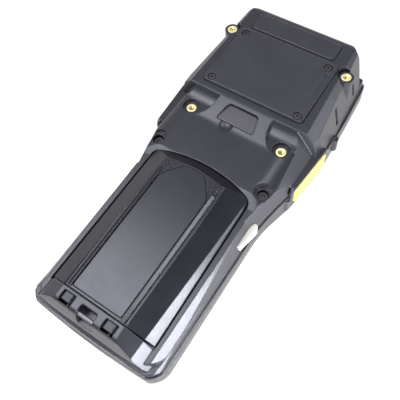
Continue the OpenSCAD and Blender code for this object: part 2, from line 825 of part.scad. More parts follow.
// Hinge line and hooks of the lid
pivot_y = y_lid_top - 0.2;
pivot_z = neck_z(y_lid_top);
hook_x = 14;
hook_w = 7;

lid_screw_seat = 2;
module battery_lid() {
    color([0.14, 0.14, 0.15])
    difference() {
        union() {
            intersection() {
                linear_extrude(big / 8) lid_plan(0);
                over_seat(0.9);
                difference() {
                    across(big) polygon([[y_seam - 4, 0], [y_lid_top + 9, 0],
                        [y_lid_top + 9, tail_z(y_lid_top + 9)], [y_seam - 4, tail_z(y_seam - 4)]]);
                    both_sides() back_flank_cut();
                    lid_end_cut();
                }
                // ramp round the arc at the neck
                translate([0, y_lid_top - lid_arc, 0]) rotate_extrude($fn = 256) polygon([
                    [0, 0], [lid_arc, 0], [lid_arc, pivot_z - 0.5], [lid_arc - 0.5, pivot_z],
                    [lid_arc - 8, tail_z(y_lid_top - 8)], [lid_arc - 8, 60], [0, 60]]);
            }
            // hooks under the neck
            both_sides() translate([hook_x - hook_w / 2, y_lid_top - 5, pivot_z - 4.6])
                cube([hook_w, 7.4, 2]);
        }
        // room for the battery
        intersection() {
            translate([-bay_half, bay_low, 0]) cube([2 * bay_half, bay_high - bay_low, 60]);
            difference() {
                across(big) polygon([[y_seam, 0], [y_lid_top, 0], [y_lid_top, tail_z(y_lid_top) - 2.8],
                    [y_seam, tail_z(y_seam) - 2.8]]);
                both_sides() translate([-lid_skin * 1.3, 0, -lid_skin]) back_flank_cut();
            }
        }
        pad_room(0, 0);
        // groove outside the pad's rim, between rim and ridge
        on_back() both_sides() translate([groove_half - 0.7, y_seam - 3, -ridge_drop - 0.4])
            cube([1.4, lid_len - 5, 5]);
    }
}

// The lid's lower end leans in so that it can swing past the tail
module lid_end_cut() {
    beyond([9, y_seam, tail_h], [0, y_seam, tail_h], [0, y_seam + 1.3, tail_h - 14]);
}

// Plan of the inset pad: straight sides and a bevelled, bowed head
pad_arch = y_lid_top - 8.4;
module pad_plan(d) {
    rounded([[-pad_half - d, y_seam + 1.4 - d], [pad_half + d, y_seam + 1.4 - d],
        [pad_half + d, pad_arch - 12], [pad_half - 9 + d / 2, pad_arch + d],
        [-pad_half + 9 - d / 2, pad_arch + d], [-pad_half - d, pad_arch - 12]],
        [0.8, 0.8, 7, 7, 7, 7]);
}
module pad_room(d, down) {
    on_back() translate([0, 0, -pad_t - down]) linear_extrude(9) pad_plan(d);
}

module trigger_shape(gap, deep, out) {
    l = trigger_l / 2 + gap;
    function inner(y) = side_x(y) - trigger_sunk - deep;
    intersection() {
        translate([0, 0, trigger_mid - trigger_h / 2 - gap]) linear_extrude(trigger_h + 2 * gap)
            polygon([[inner(trigger_y - l), trigger_y - l], [side_x(trigger_y - l) + out, trigger_y - l],
                [side_x(trigger_y + l) + out, trigger_y + l], [inner(trigger_y + l), trigger_y + l]]);
        translate([20, trigger_y, trigger_mid]) rotate([90, 0, 90]) linear_extrude(60)
            round_rect(trigger_l + 2 * gap, trigger_h + 2 * gap, 3 + gap);
    }
}

// Frame that stands out of the side walls round each trigger
module trigger_guard() {
    intersection() {
        linear_extrude(rail_z) plan(-guard_proud);
        both_sides() translate([rail_in + 0.8, trigger_y, rail_z - trigger_h / 2 - guard_w / 2 - 0.3])
            rotate([90, 0, 90]) linear_extrude(60)
                round_rect(trigger_l + 2 * guard_w, trigger_h + guard_w + 0.6, 3.6);
    }
}

module scan_trigger() {
    color([0.95, 0.85, 0.1]) trigger_shape(0, 0, trigger_proud);
    color([0.95, 0.85, 0.1])
        translate([side_x(trigger_y) - trigger_block - 0.6, trigger_y, trigger_z])
            rotate([0, 90, 0]) rod(stem_r, trigger_block + 0.6);
    // ring that keeps the trigger in
    color([0.95, 0.85, 0.1])
        translate([side_x(trigger_y) - trigger_block - 0.6, trigger_y, trigger_z])
            rotate([0, 90, 0]) rod(2.3, 0.5);
}

// Side key: a wedge that stands out most near the neck
function wall_x(y) = grip_w / 2 - rear_inset - 1;
module side_key_shape(gap, deep, out) {
    y0 = side_y - side_l / 2 - gap;
    y1 = side_y + side_l / 2 + gap;
    translate([0, 0, side_z - side_h / 2 - gap]) linear_extrude(side_h + 2 * gap)
        rounded([[wall_x(y0) - 3.6 - deep, y0], [wall_x(y0) + 0.6 + out, y0],
            [wall_x(y1) + 3 + out, y1 - 3], [wall_x(y1) + 2.2 + out, y1], [wall_x(y1) - 3.6 - deep, y1]],
            [0.6, 0.6, 3, 1, 0.6]);
}
// flange behind the wall; the key is dropped in from the open lower edge
module side_key_flange(gap, deep, low) {
    x = wall_x(0) - 3.6 - deep;
    translate([x, side_y - side_l / 2 - 1 - gap, side_z - side_h / 2 - low])
        cube([1.2 + deep + gap, side_l + 2 + 2 * gap, side_h + low + gap]);
}
module side_key_room() {
    side_key_shape(key_gap, 0, 6);
    side_key_flange(key_gap, side_travel + 0.2, 9);
}
module side_key() {
    color([0.75, 0.77, 0.75])
    difference() {
        union() {
            side_key_shape(0, 0, 0);
            side_key_flange(0, 0, 0);
        }
        // finger groove
        translate([wall_x(0) + 9.6, side_y, side_z]) cylinder(r = 8, h = 1.2, center = true);
    }
}

// Latches
pocket_z = 22.6;
latch_wall = 1.6;
latch_y1 = y_seam - lid_gap - latch_wall - key_gap;
latch_y0 = latch_y1 - latch_l;
latch_top = tail_z(latch_y0) + 0.5;
tongue_z = 26.4;
module latch_room() {
    translate([latch_x - latch_w / 2 - key_gap, latch_y0 - latch_travel - key_gap - 0.1, pocket_z])
        cube([latch_w + 2 * key_gap, latch_l + latch_travel + 2 * key_gap + 0.1, 20]);
    translate([latch_x - 2 - key_gap, latch_y1, tongue_z - key_gap])
        cube([4 + 2 * key_gap, 9, 1.6 + 2 * key_gap]);
}
module latch() {
    color([0.12, 0.12, 0.13])
    difference() {
        union() {
            translate([latch_x - latch_w / 2, latch_y0, tongue_z - 0.8])
                cube([latch_w, latch_l, latch_top - tongue_z + 0.8]);
            translate([latch_x - latch_w / 2, latch_y1 - 1.6, pocket_z + key_gap])
                cube([latch_w, 1.6, 4]);
            translate([latch_x - 2, latch_y1 - 0.5, tongue_z]) cube([4, latch_wall + 0.75, 1.6]);
        }
        // sloped flanks
        for (s = [-1, 1])
            translate([latch_x + s * latch_w / 2, latch_y0 - 1, latch_top - 1.5])
                rotate([0, s * 50, 0]) translate([-4, 0, 0]) cube([8, latch_l + 2, 4]);
    }
}
module latch_springs() {
    color([0.7, 0.7, 0.72])
    both_sides() translate([latch_x, latch_y0 - latch_travel - key_gap - 0.1, pocket_z + 1.6])
        rotate([-90, 0, 0]) difference() {
            rod(1.2, latch_l + latch_travel - 1.2);
            translate([0, 0, -1]) rod(0.8, 20);
        }
}

strap_y = latch_y0 - 0.7;
strap_z = tail_h - 3.2;
module strap_room() {
    translate([-strap_w / 2, strap_y - 3.4, pocket_z]) linear_extrude(20)
        rounded([[0, 0], [strap_w, 0], [strap_w, 7.6], [0, 7.6]], [1, 1, 1, 1]);
    translate([-strap_w / 2 - 2, strap_y, strap_z]) rotate([0, 90, 0])
        rod(strap_bar_r + 0.02, strap_w + 4);
}
module strap_bar() {
    color([0.75, 0.75, 0.77])
    translate([-strap_w / 2 - 1.9, strap_y, strap_z]) rotate([0, 90, 0])
        rod(strap_bar_r, strap_w + 3.8);
}

// Head cover
module cover_room() {
    on_head() {
        translate([0, cover_len / 2, -cover_sink - 0.5]) linear_extrude(20)
            round_rect(2 * cover_half + 0.6, cover_len + 0.6, 2.9);
        translate([-cover_half + 7.6, 6.4, -12]) cube([2 * cover_half - 15.2, cover_len - 12.8, 13]);
        both_sides() for (s = cover_screws)
            translate([s[0], s[1], -cover_sink - 4]) rod(screw_r + 0.03, 9);
    }
}
module head_cover() {
    color([0.16, 0.16, 0.17])
    on_head() difference() {
        translate([0, cover_len / 2, -cover_sink]) linear_extrude(cover_t)
            round_rect(2 * cover_half, cover_len, 2.6);
        both_sides() {
            for (s = cover_screws)
                translate([s[0], s[1], 0]) {
                    translate([0, 0, -9]) rod(screw_r + 0.2, 20);
                    translate([0, 0, cover_proud - 1.3]) rod(2.5, 9);
                }
            // side channel, deeper toward the top end
            translate([cover_half - 4.4, 8, cover_proud]) rotate([-1.6, 0, 0])
                translate([0, 0, 0]) cube([20, cover_len - 15.4, 9]);
        }
        // bevelled rim
        translate([0, -0.3, cover_proud]) rotate([45, 0, 0]) cube([80, 1.6, 1.6], center = true);
    }
}
module head_cover_seal() {
    color([0.05, 0.05, 0.05])
    on_head() translate([0, cover_len / 2, -cover_sink - 0.5]) difference() {
        linear_extrude(0.5) round_rect(2 * cover_half - 1, cover_len - 1, 2);
        translate([0, 0, -1]) linear_extrude(3) round_rect(2 * cover_half - 15, cover_len - 12.6, 1);
        both_sides() for (s = cover_screws)
            translate([s[0], s[1] - cover_len / 2, -1]) rod(screw_r + 0.4, 3);
    }
}
// Screw with a socket; the seat of its head is at z = 0
module screw(r, head, h, len) {
    difference() {
        union() {
            rod(head, h);
            translate([0, 0, -len]) rod(r, len + eps);
        }
        translate([0, 0, h - 0.8]) cylinder(r = head * 0.5, h = 2, $fn = 6);
    }
}
module head_cover_screws() {
    color([0.2, 0.2, 0.21])
    on_head() both_sides() for (s = cover_screws)
        translate([s[0], s[1], cover_proud - 1.3]) screw(screw_r, 2, 1, 4);
}

module end_room() {
    on_head() translate([0, end_y + end_l / 2, end_proud - end_t]) linear_extrude(9)
        round_rect(2 * end_half + 0.5, end_l + 0.5, 2.2);
}
module end_panel() {
    color([0.15, 0.15, 0.16])
    on_head() difference() {
        translate([0, end_y + end_l / 2, end_proud - end_t]) linear_extrude(end_t)
            round_rect(2 * end_half, end_l, 2);
        for (s = [-1, 1]) translate([0, end_y + end_l / 2 + s * (end_l / 2 + 0.2), end_proud])
            rotate([45, 0, 0]) cube([80, 0.9, 0.9], center = true);
    }
}

// Scan window in the top end, scan engine behind it
scan_z = 18;
scan_w = 44;
scan_h = 9.6;
scan_y = y_top - rear_inset - 2.2;
module scan_room() {
    translate([0, scan_y - 2, scan_z]) rotate([-90, 0, 0]) linear_extrude(9)
        round_rect(scan_w - 2, scan_h - 2, 1.4);
    translate([0, scan_y - 4, scan_z]) rotate([-90, 0, 0]) linear_extrude(4)
        round_rect(scan_w + 0.4, scan_h + 0.4, 2);
    translate([-23.4, y_top - 18, 0]) cube([46.8, 14.2, 24.6]);
}
module scan_window() {
    color([0.25, 0.02, 0.03])
    translate([0, scan_y - 1.6, scan_z]) rotate([-90, 0, 0]) linear_extrude(1.6)
        round_rect(scan_w, scan_h, 1.8);
}
module scan_engine() {
    color([0.1, 0.1, 0.11])
    difference() {
        union() {
            translate([-20, y_top - 17, main_z + board_t]) cube([40, 10.6, 10.6]);
            translate([-8, y_top - 6.4 - eps, scan_z]) rotate([-90, 0, 0]) rod(3.4, 1.4);
        }
        translate([-8, y_top - 8, scan_z]) rotate([-90, 0, 0]) rod(2.4, 9);
        translate([2, y_top - 8, scan_z - 3]) cube([14, 9, 6]);
    }
}

module brass_inserts() {
    color([0.85, 0.68, 0.35])
    both_sides() for (p = [[insert_up / 2, y_insert_up, insert_up_z], [insert_low / 2, y_insert_low, insert_low_z]])
        translate([p[0], p[1], p[2] - insert_len]) difference() {
            rod(insert_r, insert_len);
            translate([0, 0, -1]) rod(insert_bore, insert_len + 2);
        }
}
module waist_screw_pair() {
    color([0.6, 0.6, 0.62])
    both_sides() translate([waist_screws / 2, y_waist, waist_seat])
        screw(screw_r, 2.7, 1.8, waist_seat - lip_h - 2);
}
module bay_screws() {
    color([0.4, 0.4, 0.42])
    both_sides() for (y = bay_screw_y)
        translate([bay_screw_x, y, bay_floor - 0.9]) screw(screw_r, 2.1, 1.1, bay_floor - 0.9 - lip_h - 2);
}

module battery_pack() {
    color([0.2, 0.2, 0.22])
    difference() {
        translate([0, bay_low + 0.7, 0]) rotate([90, 0, 0]) mirror([0, 0, 1])
            linear_extrude(bay_high - bay_low - 4.6) polygon([
                [-bay_half + 0.8, bay_floor + 0.3], [bay_half - 0.8, bay_floor + 0.3],
                [bay_half - 0.8, 16.4], [bay_half - 9.4, tail_h - 5.6],
                [-bay_half + 9.4, tail_h - 5.6], [-bay_half + 0.8, 16.4]]);
        both_sides() for (y = bay_screw_y) translate([bay_screw_x, y, 0]) rod(2.6, bay_floor + 1);
    }
}
module battery_contacts() {
    color([0.9, 0.75, 0.4])
    translate([-9, bay_high - 3, bay_floor]) {
        cube([18, 3, 7]);
        for (i = [0 : 3]) translate([3 + i * 4, 0.4, 3.4]) rotate([90, 0, 0]) rod(0.7, 1);
    }
}

module anchor_cap() {
    color([0.3, 0.3, 0.32])
    difference() {
        notch_space(0, -0.2);
        notch_space(1, 1);
    }
}

module dock_connector() {
    color([0.1, 0.1, 0.1])
    translate([0, y_tail + 1.4, dock_z]) rotate([-90, 0, 0]) difference() {
        linear_extrude(5.9) round_rect(dock_w, dock_h, 1);
        translate([0, 0, -1]) linear_extrude(2.6) round_rect(dock_w - 2.4, dock_h - 2.2, 0.5);
    }
}
module speaker() {
    color([0.15, 0.15, 0.16])
    translate([0, y_top - 9, lip_h + panel_t]) linear_extrude(3.6) round_rect(26, 8, 3.6);
}
module radio_module() {
    color([0.7, 0.72, 0.72])
    translate([-16, y_upper + 0, main_z + board_t]) cube([32, 14, 2.6]);
}

module lid_pad() {
    color([0.17, 0.17, 0.18])
    on_back() translate([0, 0, -pad_t]) linear_extrude(pad_t) pad_plan(-0.3);
}
module lid_seal() {
    color([0.05, 0.05, 0.05])
    intersection() {
        difference() {
            linear_extrude(big / 8) lid_plan(-0.9);
            translate([-bay_half - 0.5, bay_low - 0.5, 0])
                cube([2 * bay_half + 1, bay_high - bay_low + 1, 60]);
            both_sides() translate([hook_x - hook_w / 2 - 0.4, y_lid_top - 6, 0])
                cube([hook_w + 0.8, 9, 60]);
        }
        difference() {
            over_seat(0.3);
            over_seat(0.9);
        }
    }
}

dark = [0.2, 0.2, 0.21];
front_housing();
rear_housing();
housing_seal();
touch_window();
display_module();
keypad_board();
main_board();
head_cover();
head_cover_seal();
head_cover_screws();
end_panel();
scan_window();
scan_engine();
brass_inserts();
waist_screw_pair();  // waist_screws
bay_screws();
battery_pack();
battery_contacts();
strap_bar();
anchor_cap();
dock_connector();
speaker();
radio_module();
battery_lid();
lid_pad();
lid_seal();
mirror([1, 0, 0]) latch();  // latch_left
latch();  // latch_right
latch_springs();
mirror([1, 0, 0]) scan_trigger();  // scan_trigger_left
scan_trigger();  // scan_trigger_right
mirror([1, 0, 0]) side_key();  // side_key_left
side_key();  // side_key_right
nav_pad();
keypad_key("power_key", [0.7, 0.1, 0.1]);  // power_key
keypad_key("front_scan_key", [0.95, 0.85, 0.1]);  // front_scan_key
keypad_key("soft_key_left", dark);  // soft_key_left
keypad_key("soft_key_right", dark);  // soft_key_right
keypad_key("escape_key", [0.7, 0.1, 0.1]);  // escape_key
keypad_key("enter_key", [0.1, 0.5, 0.2]);  // enter_key
keypad_key("tab_key", dark);  // tab_key
keypad_key("backspace_key", dark);  // backspace_key
keypad_key("key_0", dark);  // key_0
keypad_key("key_1", dark);  // key_1
keypad_key("key_2", dark);  // key_2
keypad_key("key_3", dark);  // key_3
keypad_key("key_4", dark);  // key_4
keypad_key("key_5", dark);  // key_5
keypad_key("key_6", dark);  // key_6
keypad_key("key_7", dark);  // key_7
keypad_key("key_8", dark);  // key_8
keypad_key("key_9", dark);  // key_9
keypad_key("key_point", dark);  // key_point
keypad_key("key_sign", dark);  // key_sign
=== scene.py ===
import math

import bmesh
import bpy
from mathutils import Matrix, Vector
from mathutils.bvhtree import BVHTree


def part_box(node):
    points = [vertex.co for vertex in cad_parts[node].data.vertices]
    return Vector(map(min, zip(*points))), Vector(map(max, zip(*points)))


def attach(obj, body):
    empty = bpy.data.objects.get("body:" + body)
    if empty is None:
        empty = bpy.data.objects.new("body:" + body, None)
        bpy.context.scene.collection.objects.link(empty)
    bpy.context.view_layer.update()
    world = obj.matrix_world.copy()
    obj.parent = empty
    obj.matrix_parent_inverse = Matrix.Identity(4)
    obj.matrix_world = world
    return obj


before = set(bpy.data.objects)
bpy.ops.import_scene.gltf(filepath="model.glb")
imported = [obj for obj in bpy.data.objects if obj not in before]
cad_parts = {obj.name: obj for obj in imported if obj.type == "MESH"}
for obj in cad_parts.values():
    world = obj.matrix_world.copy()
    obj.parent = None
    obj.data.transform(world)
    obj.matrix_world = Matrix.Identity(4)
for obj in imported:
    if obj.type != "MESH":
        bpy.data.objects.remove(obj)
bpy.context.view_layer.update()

# ------------------------------------------------------------------ front housing
# The front half of the case: a tray moulded in black ABS and polycarbonate, with a bumper
# lip round its face. Its mould was spark eroded, so the skin is finely grained, and its
# edges are rubbed smooth by hands and counters; their lighter colour is partly that wear
# and partly a painted highlight.


class Wire:
    """One socket of a material; sums written on it add the Math nodes."""

    def __init__(self, tree, socket=None):
        self.tree = tree
        self.socket = socket

    def add(self, kind, settings=None, sockets=None, out=0):
        node = self.tree.nodes.new("ShaderNode" + kind)
        for name, value in (settings or {}).items():
            setattr(node, name, value)
        for name, value in (sockets or {}).items():
            if isinstance(value, Wire):
                self.tree.links.new(value.socket, node.inputs[name])
            else:
                node.inputs[name].default_value = value
        return Wire(self.tree, node.outputs[out] if len(node.outputs) else None)

    def math(self, work, a, b=0.0):
        return self.add("Math", {"operation": work}, {0: a, 1: b})

    def __add__(self, other):
        return self.math("ADD", self, other)

    __radd__ = __add__

    def __sub__(self, other):
        return self.math("SUBTRACT", self, other)

    def __rsub__(self, other):
        return self.math("SUBTRACT", other, self)

    def __mul__(self, other):
        return self.math("MULTIPLY", self, other)

    __rmul__ = __mul__

    def over(self, low, high):
        """0 where the value is below low, 1 above high, with a soft step between."""
        return self.add("MapRange", {"interpolation_type": "SMOOTHSTEP"},
                        {"Value": self, "From Min": low, "From Max": high})


def paint(start, share, under, upper):
    """Two colours mixed by a share."""
    return start.add("Mix", {"data_type": "RGBA"}, {0: share, 6: under, 7: upper}, out=2)


def rgba(colour, gain=1.0):
    return (min(1, colour[0] * gain), min(1, colour[1] * gain), min(1, colour[2] * gain), 1)


def finish_named(name):
    """An empty material and its first wire."""
    material = bpy.data.materials.new(name)
    material.use_nodes = True
    material.node_tree.nodes.clear()
    return material, Wire(material.node_tree)


rub_and_highlight_from = 0.015
rub_and_highlight_full = 0.16
wall_from = 0.45
wall_full = 0.75
wall_rough = 0.1
wall_coat = 0.6


def moulded(name, colour, rough=0.42, grain=0.00042, depth=0.00002, edge=0.0006, edge_wear_and_highlight=1.5,
            shine=0.36, mottle=0.12, coat=0.0, sheer=(0.87, 0.88, 1.0, 1), polish=0.0):
    """Moulded plastic: eroded grain, faint flow marks, edges lighter from wear and a painted
    highlight; polish coats steep walls.
    """
    material, start = finish_named(name)
    place = start.add("TexCoord", out="Object")
    speck = start.add("TexNoise", None, {"Vector": place, "Scale": 1 / grain, "Detail": 2.0}, out=0)
    flow = start.add("TexNoise", None, {"Vector": place, "Scale": 55.0, "Detail": 3.0}, out=0)
    smear = start.add("TexNoise", None, {"Vector": place, "Scale": 210.0, "Detail": 4.0}, out=0)
    soft = start.add("Bevel", {"samples": 6}, {"Radius": edge})
    flat = start.add("NewGeometry", out="Normal")
    same = start.add("VectorMath", {"operation": "DOT_PRODUCT"}, {0: soft, 1: flat}, out="Value")
    # Edges are painted lighter: partly wear, partly a painted highlight along every edge.
    rubbed_and_highlit = (1.0 - same).over(rub_and_highlight_from, rub_and_highlight_full) * (0.35 + 0.65 * smear.over(0.35, 0.62))
    tone = paint(start, flow.over(0.3, 0.7), rgba(colour, 1 - mottle), rgba(colour, 1 + mottle))
    tone = paint(start, rubbed_and_highlit, tone, rgba(colour, edge_wear_and_highlight))
    gloss = rough + (speck - 0.5) * 0.10 + (smear - 0.5) * 0.09 - rubbed_and_highlit * 0.07
    bump = start.add("Bump", None, {"Strength": 0.8, "Distance": depth, "Height": speck,
                                    "Normal": soft})
    faces = start.add("TexCoord", out="Normal")
    lean = start.math("ABSOLUTE", start.add("SeparateXYZ", None, {0: faces}, out="Z"))
    skin = (1.0 - lean).over(wall_from, wall_full) * polish
    shader = start.add("BsdfPrincipled", None, {
        "Base Color": tone, "Roughness": gloss + skin * wall_rough, "Normal": bump,
        "Specular IOR Level": shine, "Specular Tint": sheer,
        "Coat Weight": coat + skin * wall_coat, "Coat Roughness": 0.36})
    start.add("OutputMaterial", None, {"Surface": shader})
    return material


def dress(material, *nodes):
    """The material goes on every slot of these CAD nodes."""
    for node in nodes:
        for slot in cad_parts[node].material_slots:
            slot.material = material


dress(moulded("front_black", (0.016, 0.016, 0.018), rough=0.26, edge_wear_and_highlight=1.9, edge=0.0008,
              polish=0.8), "front_housing")

# ------------------------------------------------------------------ touch window
# A hard coated clear panel bonded into the face, printed black round its rim. Behind its
# clear middle the switched off screen is a slightly greener dark.

low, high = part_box("touch_window")
middle = (low + high) / 2
rim_x = 0.005
rim_y = 0.007
rim_soft = 0.00015
clear_x = (high.x - low.x) / 2 - rim_x
clear_y = (high.y - low.y) / 2 - rim_y
window_finish, start = finish_named("window_panel")
place = start.add("TexCoord", out="Object")
across = start.add("SeparateXYZ", None, {0: place}, out="X")
along = start.add("SeparateXYZ", None, {0: place}, out="Y")
out_x = start.math("ABSOLUTE", across - middle.x)
out_y = start.math("ABSOLUTE", along - middle.y)
clear = (clear_x - out_x).over(-rim_soft, rim_soft) * (clear_y - out_y).over(-rim_soft, rim_soft)
haze = start.add("TexNoise", None, {"Vector": place, "Scale": 38.0, "Detail": 6.0}, out=0)
wipe = start.add("TexNoise", None, {"Vector": place, "Scale": 140.0, "Detail": 3.0,
                                    "Distortion": 1.5}, out=0)
tone = paint(start, clear, (0.006, 0.006, 0.007, 1), (0.020, 0.024, 0.024, 1))
shader = start.add("BsdfPrincipled", None, {
    "Base Color": tone, "Roughness": 0.05 + haze.over(0.45, 0.75) * 0.10 + wipe * 0.03,
    "Specular IOR Level": 0.5, "Coat Weight": 0.6, "Coat Roughness": 0.04})
start.add("OutputMaterial", None, {"Surface": shader})
dress(window_finish, "touch_window")

# ------------------------------------------------------------------ display module
# The liquid crystal module: a glass sandwich in a folded tin frame. It lies in the front
# housing, just behind the window.

dress(moulded("display_glass", (0.05, 0.058, 0.062), rough=0.18, grain=0.0009,
              depth=0.000002, edge=0.0003, edge_wear_and_highlight=1.2), "display_module")

# ------------------------------------------------------------------ keys
# Silicone rubber keys with a hard coat, moulded in their own colours. Each has its legend
# printed on its face, in white, and the face is a little polished where fingers press.


def rubber(name, colour, rough=0.62, edge=0.0005, dust=0.3):
    """Moulded silicone rubber: soft edges, a dull bloom, a fine dust in patches."""
    material, start = finish_named(name)
    place = start.add("TexCoord", out="Object")
    bloom = start.add("TexNoise", None, {"Vector": place, "Scale": 160.0, "Detail": 5.0}, out=0)
    pore = start.add("TexNoise", None, {"Vector": place, "Scale": 2600.0, "Detail": 1.0}, out=0)
    soft = start.add("Bevel", {"samples": 6}, {"Radius": edge})
    tone = paint(start, bloom.over(0.42, 0.72) * dust, rgba(colour, 0.9), rgba(colour, 1.5))
    bump = start.add("Bump", None, {"Strength": 0.5, "Distance": 0.00002, "Height": pore,
                                    "Normal": soft})
    shader = start.add("BsdfPrincipled", None, {
        "Base Color": tone, "Roughness": rough + (bloom - 0.5) * 0.2, "Normal": bump,
        "Specular IOR Level": 0.4, "Sheen Weight": 0.15, "Sheen Roughness": 0.5})
    start.add("OutputMaterial", None, {"Surface": shader})
    return material


key_black = rubber("key_black", (0.028, 0.028, 0.032))
key_red = rubber("key_red", (0.42, 0.028, 0.025))
key_green = rubber("key_green", (0.03, 0.25, 0.08))
key_yellow = rubber("key_yellow", (0.72, 0.56, 0.03))
dress(key_black, "nav_pad", "soft_key_left", "soft_key_right", "tab_key", "backspace_key",
      "key_point", "key_sign", *["key_%d" % n for n in range(10)])
dress(key_red, "power_key", "escape_key")
dress(key_green, "enter_key")
dress(key_yellow, "front_scan_key")

legend_white, start = finish_named("legend_white")
place = start.add("TexCoord", out="Object")
rub = start.add("TexNoise", None, {"Vector": place, "Scale": 900.0, "Detail": 3.0}, out=0)
tone = paint(start, rub.over(0.5, 0.75), (0.80, 0.80, 0.78, 1), (0.52, 0.52, 0.52, 1))
shader = start.add("BsdfPrincipled", None, {"Base Color": tone, "Roughness": 0.5 + rub * 0.2})
start.add("OutputMaterial", None, {"Surface": shader})
legend_dark = rubber("legend_dark", (0.02, 0.02, 0.02))


def piece(name, work, body, material, smooth=True):
    """A bmesh becomes a named piece that rides on a body."""
    mesh = bpy.data.meshes.new(name)
    work.to_mesh(mesh)
    work.free()
    mesh.materials.append(material)
    for face in mesh.polygons:
        face.use_smooth = smooth
    obj = bpy.data.objects.new(name, mesh)
    bpy.context.collection.objects.link(obj)
    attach(obj, body)


legend_lift = 0.00010
figure_high = 0.0046
mark_high = 0.0062


def face_of(key):
    """The middle of a key's face, looking out of it."""
    low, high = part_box(key)
    seat = Vector(((low.x + high.x) / 2, (low.y + high.y) / 2, low.z))
    return Matrix.Translation(seat) @ Matrix.Rotation(math.pi, 4, "Y")


def figure(name, text, key, size=figure_high):
    """A printed figure, made as a thin mesh on the key's face and read from the front."""
    curve = bpy.data.curves.new(name, "FONT")
    curve.body = text
    curve.size = size
    curve.extrude = legend_lift
    curve.align_x = "CENTER"
    curve.align_y = "CENTER"
    curve.resolution_u = 3
    drawn = bpy.data.objects.new(name + "_drawn", curve)
    bpy.context.collection.objects.link(drawn)
    mesh = bpy.data.meshes.new_from_object(drawn)
    bpy.data.objects.remove(drawn)
    bpy.data.curves.remove(curve)
    work = bmesh.new()
    work.from_mesh(mesh)
    bpy.data.meshes.remove(mesh)
    bmesh.ops.remove_doubles(work, verts=work.verts, dist=1e-7)
    bmesh.ops.transform(work, verts=work.verts, matrix=face_of(key))
    piece(name, work, key, legend_white, smooth=False)


for n in range(10):
    figure("legend_%d" % n, str(n), "key_%d" % n)
figure("legend_point", ".", "key_point", mark_high)
figure("legend_sign", "-", "key_sign", mark_high)

# Simple signs on the other keys: arrows, bars and a ring, printed in the same way.


def sign(name, key, parts, material):
    """Bars, wedges and rings on a key's face; each part is (kind, x, y, width, length, angle)."""
    work = bmesh.new()
    for kind, x, y, width, length, angle in parts:
        if kind == "wedge":
            made = bmesh.ops.create_circle(work, cap_ends=True, segments=3, radius=width)["verts"]
            faces = [f for f in work.faces if all(v in made for v in f.verts)]
            grown = bmesh.ops.extrude_face_region(work, geom=faces)["geom"]
            up = [g for g in grown if isinstance(g, bmesh.types.BMVert)]
            bmesh.ops.translate(work, vec=(0, 0, 2 * legend_lift), verts=up)
            bmesh.ops.translate(work, vec=(0, 0, -legend_lift), verts=made + up)
            made = made + up
        elif kind == "ring":
            before = set(work.verts)
            lead = [work.verts.new((r, 0, z)) for r, z in (
                (width, -legend_lift), (width, legend_lift),
                (width - length, legend_lift), (width - length, -legend_lift))]
            loop = [work.edges.new((lead[i], lead[(i + 1) % 4])) for i in range(4)]
            bmesh.ops.spin(work, geom=lead + loop, cent=(0, 0, 0), axis=(0, 0, 1),
                           angle=2 * math.pi, steps=32, use_merge=True)
            made = [v for v in work.verts if v not in before]
        else:
            made = bmesh.ops.create_cube(work, size=1.0)["verts"]
            bmesh.ops.scale(work, vec=(width, length, 2 * legend_lift), verts=made)
        bmesh.ops.rotate(work, cent=(0, 0, 0), verts=made,
                         matrix=Matrix.Rotation(math.radians(angle), 3, "Z"))
        bmesh.ops.translate(work, vec=(x, y, 0), verts=made)
    bmesh.ops.transform(work, verts=work.verts, matrix=face_of(key))
    bmesh.ops.recalc_face_normals(work, faces=work.faces)
    piece(name, work, key, material, smooth=False)


mm = 0.001
sign("sign_enter", "enter_key", [("bar", 0.6 * mm, 0, 3.6 * mm, 0.6 * mm, 0),
                                 ("bar", 2.1 * mm, 0.9 * mm, 0.6 * mm, 2.4 * mm, 0),
                                 ("wedge", -1.6 * mm, 0, 1.1 * mm, 0, -180)], legend_white)
sign("sign_tab", "tab_key", [("bar", -0.4 * mm, 0, 3.0 * mm, 0.6 * mm, 0),
                             ("wedge", 1.2 * mm, 0, 1.1 * mm, 0, 0),
                             ("bar", 2.3 * mm, 0, 0.5 * mm, 2.4 * mm, 0)], legend_white)
sign("sign_backspace", "backspace_key", [("bar", 0.6 * mm, 0, 3.4 * mm, 0.6 * mm, 0),
                                         ("wedge", -1.5 * mm, 0, 1.1 * mm, 0, 180)],
     legend_white)
sign("sign_escape", "escape_key", [("bar", 0, 0, 3.6 * mm, 0.6 * mm, 45),
                                   ("bar", 0, 0, 3.6 * mm, 0.6 * mm, -45)], legend_white)
sign("sign_power", "power_key", [("ring", 0, 0, 1.5 * mm, 0.35 * mm, 0),
                                 ("bar", 0, 1.2 * mm, 0.4 * mm, 1.4 * mm, 0)], legend_white)
sign("sign_soft_left", "soft_key_left", [("bar", 0, 0, 3.4 * mm, 0.55 * mm, 0)], legend_white)
sign("sign_soft_right", "soft_key_right", [("bar", 0, 0, 3.4 * mm, 0.55 * mm, 0)],
     legend_white)
sign("sign_scan", "front_scan_key", [("bar", x * mm, 0, w * mm, 3.0 * mm, 0) for x, w in (
    (-3.0, 0.6), (-1.9, 0.3), (-1.1, 0.5), (0.0, 0.9), (1.2, 0.3), (2.0, 0.5), (3.0, 0.6))],
     legend_dark)

# ------------------------------------------------------------------ boards and modules
# The keypad board and the main board: glass fibre with a green solder mask over copper
# tracks, and the radio module in its tinned can.


